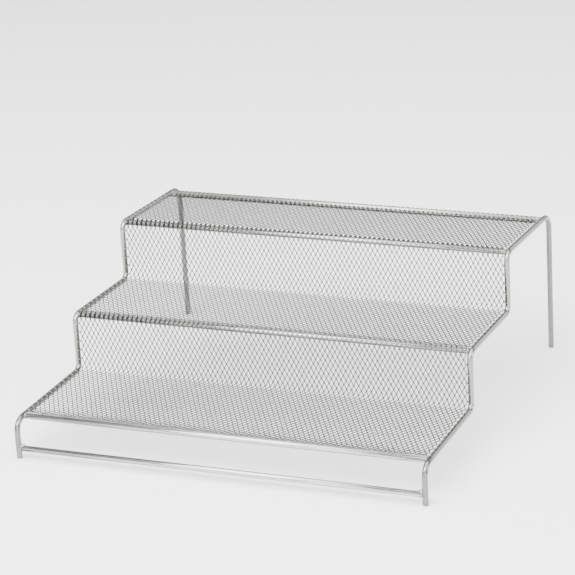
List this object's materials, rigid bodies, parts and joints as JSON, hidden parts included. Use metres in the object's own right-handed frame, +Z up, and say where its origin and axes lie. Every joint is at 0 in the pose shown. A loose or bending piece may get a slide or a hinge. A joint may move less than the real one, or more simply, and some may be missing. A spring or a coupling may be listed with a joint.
{
  "type": "tiered shelf riser",
  "caption": "Free-standing stepped shelf riser for jars: bent wire side frames and cross wires carry a folded sheet of expanded metal mesh as its treads and risers.",
  "frame": {"origin": "on the floor, under the middle of the footprint", "axes": "+X to the right seen from the front, +Y from the low front tread to the high rear one, +Z up"},
  "size_m": [0.2794, 0.2714, 0.1047],
  "materials": {
    "frame_wire": "satin silver on round steel wire",
    "mesh": "satin silver on expanded steel mesh"
  },
  "bodies": {
    "root": {"left_side_wire": "frame_wire", "right_side_wire": "frame_wire", "lower_front_rail": "frame_wire", "front_edge_wire": "frame_wire", "middle_nose_wire": "frame_wire", "top_nose_wire": "frame_wire", "rear_edge_wire": "frame_wire", "mesh_deck": "mesh"}
  },
  "joints": []
}
